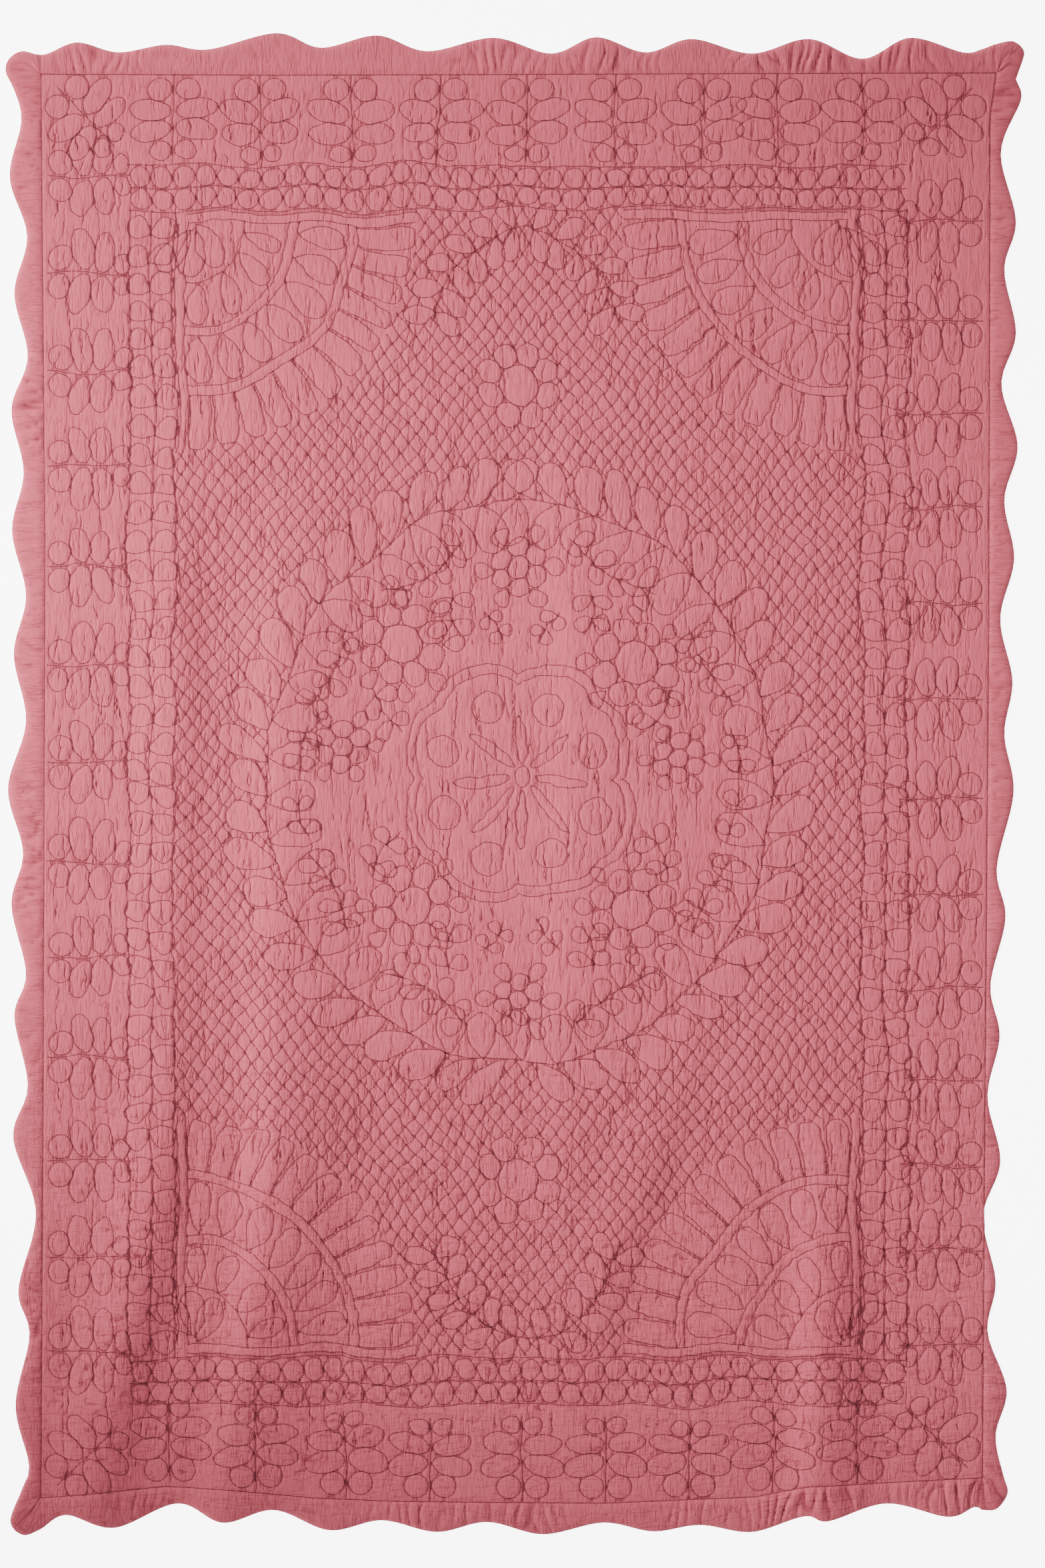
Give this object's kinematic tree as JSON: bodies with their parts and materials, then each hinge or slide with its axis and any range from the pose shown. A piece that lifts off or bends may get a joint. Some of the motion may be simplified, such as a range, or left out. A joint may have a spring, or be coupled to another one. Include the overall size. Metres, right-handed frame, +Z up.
{
  "type": "wholecloth quilt",
  "caption": "Flat rectangular wholecloth quilt with a scalloped edge, quilted with an oval feather wreath, flowers, corner fans, crosshatch and a border of petal sprays.",
  "frame": {"origin": "middle of the quilt's outline, on the surface that it lies on", "axes": "+X to the quilt's right side, +Y to its top edge, +Z up out of its face"},
  "size_m": [1.757, 2.59, 0.0166],
  "materials": {
    "washed_cotton": "matt washed cotton, rose pink"
  },
  "bodies": {
    "root": {"quilt": "washed_cotton"}
  },
  "joints": []
}
